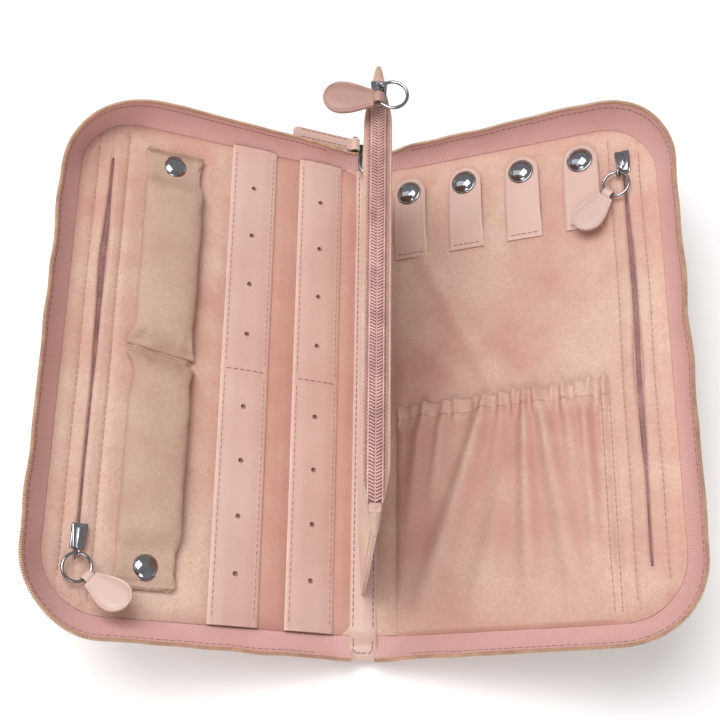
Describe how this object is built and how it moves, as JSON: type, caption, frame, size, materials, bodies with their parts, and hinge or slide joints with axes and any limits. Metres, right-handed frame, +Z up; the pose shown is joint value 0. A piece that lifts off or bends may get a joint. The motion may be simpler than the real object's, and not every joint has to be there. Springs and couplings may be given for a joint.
{
  "type": "travel jewelry case",
  "caption": "Zip-around travel jewelry case, lying open, with earring strips, a snap ring roll, necklace tabs, a gathered pocket and a zip pouch divider.",
  "frame": {"origin": "middle of the spine's underside, on the surface the open case lies on", "axes": "+X across the spine to the right cover, +Y along the spine to its far end, +Z up"},
  "size_m": [0.276, 0.2643, 0.1383],
  "materials": {
    "leather": "smooth dusty rose leather",
    "suede": "peach suede with a soft nap",
    "board": "grey board",
    "foam": "thin wadding",
    "bag_cloth": "thin woven lining",
    "zip_tape": "woven rose tape",
    "zip_coil": "moulded coil teeth",
    "pocket_zip": "dark narrow tape and coil",
    "polished_metal": "polished dark chrome"
  },
  "bodies": {
    "spine": {"spine_leather": "leather", "spine_board": "board", "spine_lining": "suede", "spine_strip": "leather", "zip_end_tab": "leather", "zip_start_tape": "zip_tape", "main_slider": "polished_metal"},
    "main_pull": {"main_pull": "leather"},
    "left_cover": {"left_cover_leather": "leather", "left_cover_board": "board", "left_cover_foam": "foam", "left_pocket_bag": "bag_cloth", "left_cover_lining": "suede", "left_pocket_zip": "pocket_zip", "left_zip_tape": "zip_tape", "left_zip_teeth": "zip_coil", "earring_strip_inner": "leather", "earring_strip_outer": "leather", "ring_roll_seam": "suede", "ring_roll_sockets": "polished_metal"},
    "ring_roll_far": {"ring_roll_far_pad": "suede", "ring_roll_far_cap": "polished_metal"},
    "ring_roll_near": {"ring_roll_near_pad": "suede", "ring_roll_near_cap": "polished_metal"},
    "right_cover": {"right_cover_leather": "leather", "right_cover_board": "board", "right_cover_foam": "foam", "right_pocket_bag": "bag_cloth", "right_cover_lining": "suede", "right_pocket_zip": "pocket_zip", "right_zip_tape": "zip_tape", "right_zip_teeth": "zip_coil", "gathered_pocket": "suede", "pocket_elastic": "suede", "necklace_tab_feet": "leather", "necklace_tab_sockets": "polished_metal"},
    "divider": {"divider_left_panel": "suede", "divider_right_panel": "suede", "divider_foot": "suede", "divider_zip_tape": "zip_tape", "divider_zip_coil": "zip_coil", "divider_zip_stops": "polished_metal"},
    "necklace_tab_1": {"necklace_tab_1_flap": "leather", "necklace_tab_1_cap": "polished_metal"},
    "necklace_tab_2": {"necklace_tab_2_flap": "leather", "necklace_tab_2_cap": "polished_metal"},
    "necklace_tab_3": {"necklace_tab_3_flap": "leather", "necklace_tab_3_cap": "polished_metal"},
    "necklace_tab_4": {"necklace_tab_4_flap": "leather", "necklace_tab_4_cap": "polished_metal"},
    "left_pocket_slider": {"left_pocket_slider": "polished_metal"},
    "left_pocket_ring": {"left_pocket_ring": "polished_metal"},
    "left_pocket_pull": {"left_pocket_pull": "leather"},
    "right_pocket_slider": {"right_pocket_slider": "polished_metal"},
    "right_pocket_ring": {"right_pocket_ring": "polished_metal"},
    "right_pocket_pull": {"right_pocket_pull": "leather"},
    "divider_slider": {"divider_slider": "polished_metal"},
    "divider_ring": {"divider_ring": "polished_metal"},
    "divider_pull": {"divider_pull": "leather"}
  },
  "joints": [
    {"name": "left_cover_hinge", "type": "hinge", "parent": "spine", "child": "left_cover", "pos_m": [-0.013, 0, 0.0064], "axis": [0, 1, 0], "range_deg": [-22.9, 64.1]},
    {"name": "right_cover_hinge", "type": "hinge", "parent": "spine", "child": "right_cover", "pos_m": [0.013, 0, 0.0064], "axis": [0, 1, 0], "range_deg": [-63.6, 23.4]},
    {"name": "divider_hinge", "type": "hinge", "parent": "spine", "child": "divider", "pos_m": [0, 0, 0.0082], "axis": [0, 1, 0], "range_deg": [-55, 52]},
    {"name": "ring_roll_far_hinge", "type": "hinge", "parent": "left_cover", "child": "ring_roll_far", "pos_m": [-0.09306, 0.0015, 0.0438], "axis": [0.9212, 0, -0.3891], "range_deg": [0, 70]},
    {"name": "ring_roll_near_hinge", "type": "hinge", "parent": "left_cover", "child": "ring_roll_near", "pos_m": [-0.09306, -0.0015, 0.0438], "axis": [-0.9212, 0, 0.3891], "range_deg": [0, 70]},
    {"name": "necklace_tab_1_hinge", "type": "hinge", "parent": "right_cover", "child": "necklace_tab_1", "pos_m": [0.02063, 0.0895, 0.01308], "axis": [-0.9178, 0, -0.3971], "range_deg": [-28, 0]},
    {"name": "necklace_tab_2_hinge", "type": "hinge", "parent": "right_cover", "child": "necklace_tab_2", "pos_m": [0.04735, 0.0895, 0.02464], "axis": [-0.9178, 0, -0.3971], "range_deg": [-110, 0]},
    {"name": "necklace_tab_3_hinge", "type": "hinge", "parent": "right_cover", "child": "necklace_tab_3", "pos_m": [0.07407, 0.0895, 0.0362], "axis": [-0.9178, 0, -0.3971], "range_deg": [-110, 0]},
    {"name": "necklace_tab_4_hinge", "type": "hinge", "parent": "right_cover", "child": "necklace_tab_4", "pos_m": [0.10079, 0.0895, 0.04777], "axis": [-0.9178, 0, -0.3971], "range_deg": [-110, 0]},
    {"name": "left_pocket_slide", "type": "slide", "parent": "left_cover", "child": "left_pocket_slider", "axis": [0, 1, 0], "range_m": [0, 0.1785]},
    {"name": "right_pocket_slide", "type": "slide", "parent": "right_cover", "child": "right_pocket_slider", "axis": [0, 1, 0], "range_m": [-0.1785, 0]},
    {"name": "divider_slide", "type": "slide", "parent": "divider", "child": "divider_slider", "axis": [0, 1, 0], "range_m": [-0.16, 0]},
    {"name": "left_pocket_ring_hinge", "type": "hinge", "parent": "left_pocket_slider", "child": "left_pocket_ring", "pos_m": [-0.11907, -0.0935, 0.05674], "axis": [-0.9212, 0, 0.3891], "range_deg": [0, 80]},
    {"name": "left_pocket_pull_hinge", "type": "hinge", "parent": "left_pocket_ring", "child": "left_pocket_pull", "pos_m": [-0.11464, -0.10336, 0.05487], "axis": [-0.5671, -0.788, 0.2396], "range_deg": [0, 60]},
    {"name": "right_pocket_ring_hinge", "type": "hinge", "parent": "right_pocket_slider", "child": "right_pocket_ring", "pos_m": [0.11698, 0.09025, 0.05695], "axis": [-0.8822, 0.2756, -0.3818], "range_deg": [0, 80]},
    {"name": "right_pocket_pull_hinge", "type": "hinge", "parent": "right_pocket_ring", "child": "right_pocket_pull", "pos_m": [0.11184, 0.07972, 0.05473], "axis": [-0.703, 0.6428, -0.3042], "range_deg": [0, 60]},
    {"name": "divider_ring_hinge", "type": "hinge", "parent": "divider_slider", "child": "divider_ring", "pos_m": [0.00418, 0.08349, 0.13573], "axis": [-0.6425, -0.766, 0.0179], "range_deg": [0, 60]},
    {"name": "divider_pull_hinge", "type": "hinge", "parent": "divider_ring", "child": "divider_pull", "pos_m": [0.00305, 0.07768, 0.13576], "axis": [-0.3089, 0.9511, 0.0086], "range_deg": [-30, 40]},
    {"name": "main_pull_hinge", "type": "hinge", "parent": "spine", "child": "main_pull", "pos_m": [-0.00713, 0.129, 0.0125], "axis": [0, 1, 0], "range_deg": [-15, 150]}
  ]
}
